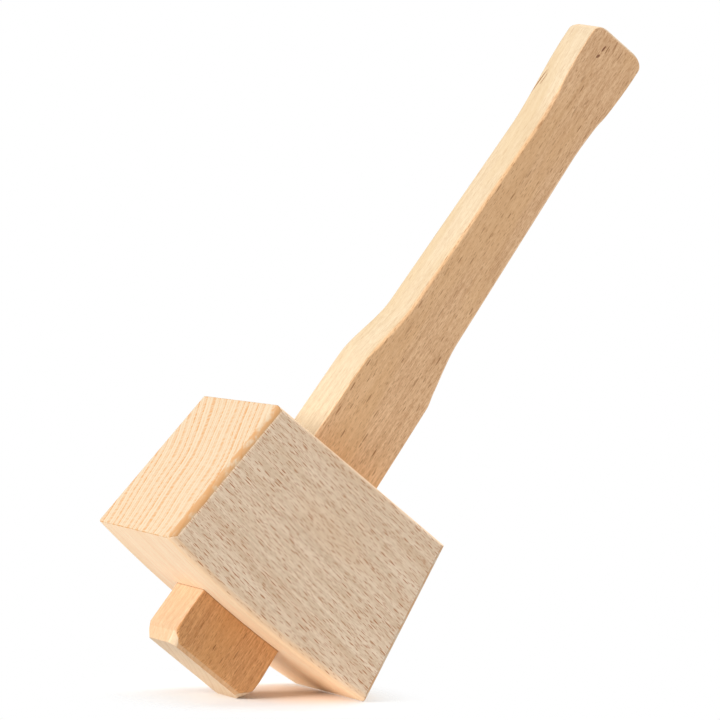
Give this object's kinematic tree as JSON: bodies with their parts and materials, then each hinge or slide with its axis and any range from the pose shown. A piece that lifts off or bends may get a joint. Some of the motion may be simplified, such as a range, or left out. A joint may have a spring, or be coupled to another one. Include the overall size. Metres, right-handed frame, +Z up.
{
  "type": "wooden mallet",
  "caption": "Joiner's wooden mallet: a solid beech block head with sloping strike faces on a tapered through-handle with a shaped grip.",
  "frame": {"origin": "centre of the handle's outer end face, the end that stands out of the head", "axes": "+Z up the handle from its outer end to the grip's butt, X from strike face to strike face, Y through the head's thickness"},
  "size_m": [0.12, 0.06, 0.318],
  "materials": {
    "head_beech": "planed and lightly sanded beech, unvarnished",
    "handle_beech": "sanded beech, unvarnished"
  },
  "bodies": {
    "handle": {"handle": "handle_beech"},
    "head": {"head": "head_beech"}
  },
  "joints": [
    {"name": "head_slide", "type": "slide", "parent": "handle", "child": "head", "axis": [0, 0, 1], "range_m": [0, 0.295]}
  ]
}
